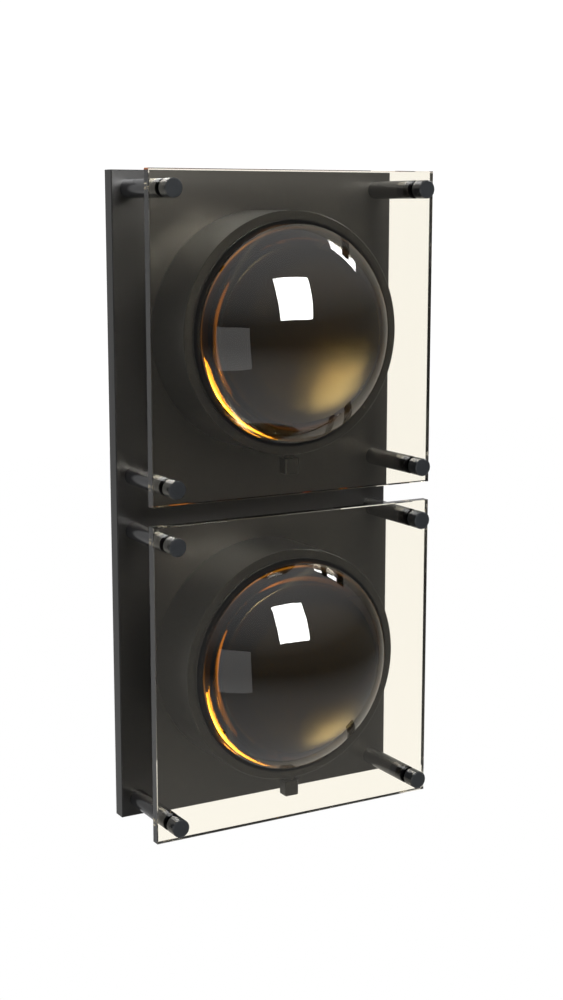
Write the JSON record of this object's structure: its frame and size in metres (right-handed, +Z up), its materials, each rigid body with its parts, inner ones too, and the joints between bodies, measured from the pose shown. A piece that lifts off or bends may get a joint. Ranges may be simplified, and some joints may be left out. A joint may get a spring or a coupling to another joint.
{
  "type": "pedestrian traffic light",
  "caption": "Pedestrian light for a wall or pole bracket: slim black back plate, round drums behind square clear amber-tinted sheets with domed lenses on round standoffs.",
  "frame": {"origin": "middle of the flat face that meets the wall or bracket, between the four fixing holes", "axes": "+Z up the light, +Y into the wall so that the front faces -Y, +X to the right seen from the front"},
  "size_m": [0.297, 0.1425, 0.612],
  "materials": {
    "black_plate": "semi-gloss black powder coat",
    "black_drum": "satin black moulding",
    "black_bezel": "satin black moulding",
    "black_post": "satin black",
    "black_cap": "gloss black",
    "black_knob": "satin black",
    "black_plastic": "matt black",
    "clear_acrylic": "polished, clear with a light amber tint",
    "smoked_plastic": "smoked, satin",
    "smoked_film": "smoked film, satin",
    "white_plastic": "matt white",
    "sleeve_plastic": "natural nylon",
    "terminal_plastic": "matt",
    "board_green": "solder mask",
    "board_white": "white solder mask on a metal core",
    "led": "clear resin over phosphor",
    "transformer": "ferrite and tape",
    "capacitor": "sleeved can",
    "aluminium": "satin",
    "steel": "zinc plated",
    "rubber": "matt black"
  },
  "bodies": {
    "frame": {"back_plate": "black_plate", "rear_cover": "aluminium", "rear_cover_screws": "steel", "cable_grommet": "rubber", "terminal_block": "terminal_plastic", "lead_grommets": "rubber", "drum_housing_upper": "black_drum", "drum_housing_lower": "black_drum", "drum_screws_upper": "steel", "drum_screws_lower": "steel", "bezel_upper": "black_bezel", "bezel_lower": "black_bezel", "shield_gasket_upper": "rubber", "shield_gasket_lower": "rubber", "insert_ring_upper": "black_plastic", "insert_ring_lower": "black_plastic", "insert_screws_upper": "steel", "insert_screws_lower": "steel", "heat_sink_upper": "aluminium", "heat_sink_lower": "aluminium", "led_board_upper": "board_white", "led_board_lower": "board_white", "leds_upper": "led", "leds_lower": "led", "baffle_upper": "white_plastic", "baffle_lower": "white_plastic", "symbol_mask_upper": "black_plastic", "symbol_mask_lower": "black_plastic", "diffuser_upper": "smoked_plastic", "diffuser_lower": "smoked_plastic", "driver_board_upper": "board_green", "driver_board_lower": "board_green", "driver_screws_upper": "steel", "driver_screws_lower": "steel", "driver_transformer_upper": "transformer", "driver_transformer_lower": "transformer", "driver_capacitors_upper": "capacitor", "driver_capacitors_lower": "capacitor", "driver_connector_upper": "terminal_plastic", "driver_connector_lower": "terminal_plastic", "shield_upper": "clear_acrylic", "shield_lower": "clear_acrylic", "lens_film_upper": "smoked_film", "lens_film_lower": "smoked_film", "posts_upper": "black_post", "posts_lower": "black_post", "studs_upper": "steel", "studs_lower": "steel", "washers_upper": "rubber", "washers_lower": "rubber", "sleeves_upper": "sleeve_plastic", "sleeves_lower": "sleeve_plastic", "caps_upper": "black_cap", "caps_lower": "black_cap"},
    "lock_upper": {"lock_knob_upper": "black_knob", "lock_cam_upper": "steel", "lock_screw_upper": "steel"},
    "lock_lower": {"lock_knob_lower": "black_knob", "lock_cam_lower": "steel", "lock_screw_lower": "steel"}
  },
  "joints": [
    {"name": "lock_upper_turn", "type": "hinge", "parent": "frame", "child": "lock_upper", "pos_m": [0, -0.07245, 0.045], "axis": [0, 0, 1], "range_deg": [0, 90]},
    {"name": "lock_lower_turn", "type": "hinge", "parent": "frame", "child": "lock_lower", "pos_m": [0, -0.07245, -0.27], "axis": [0, 0, 1], "range_deg": [0, 90]}
  ]
}
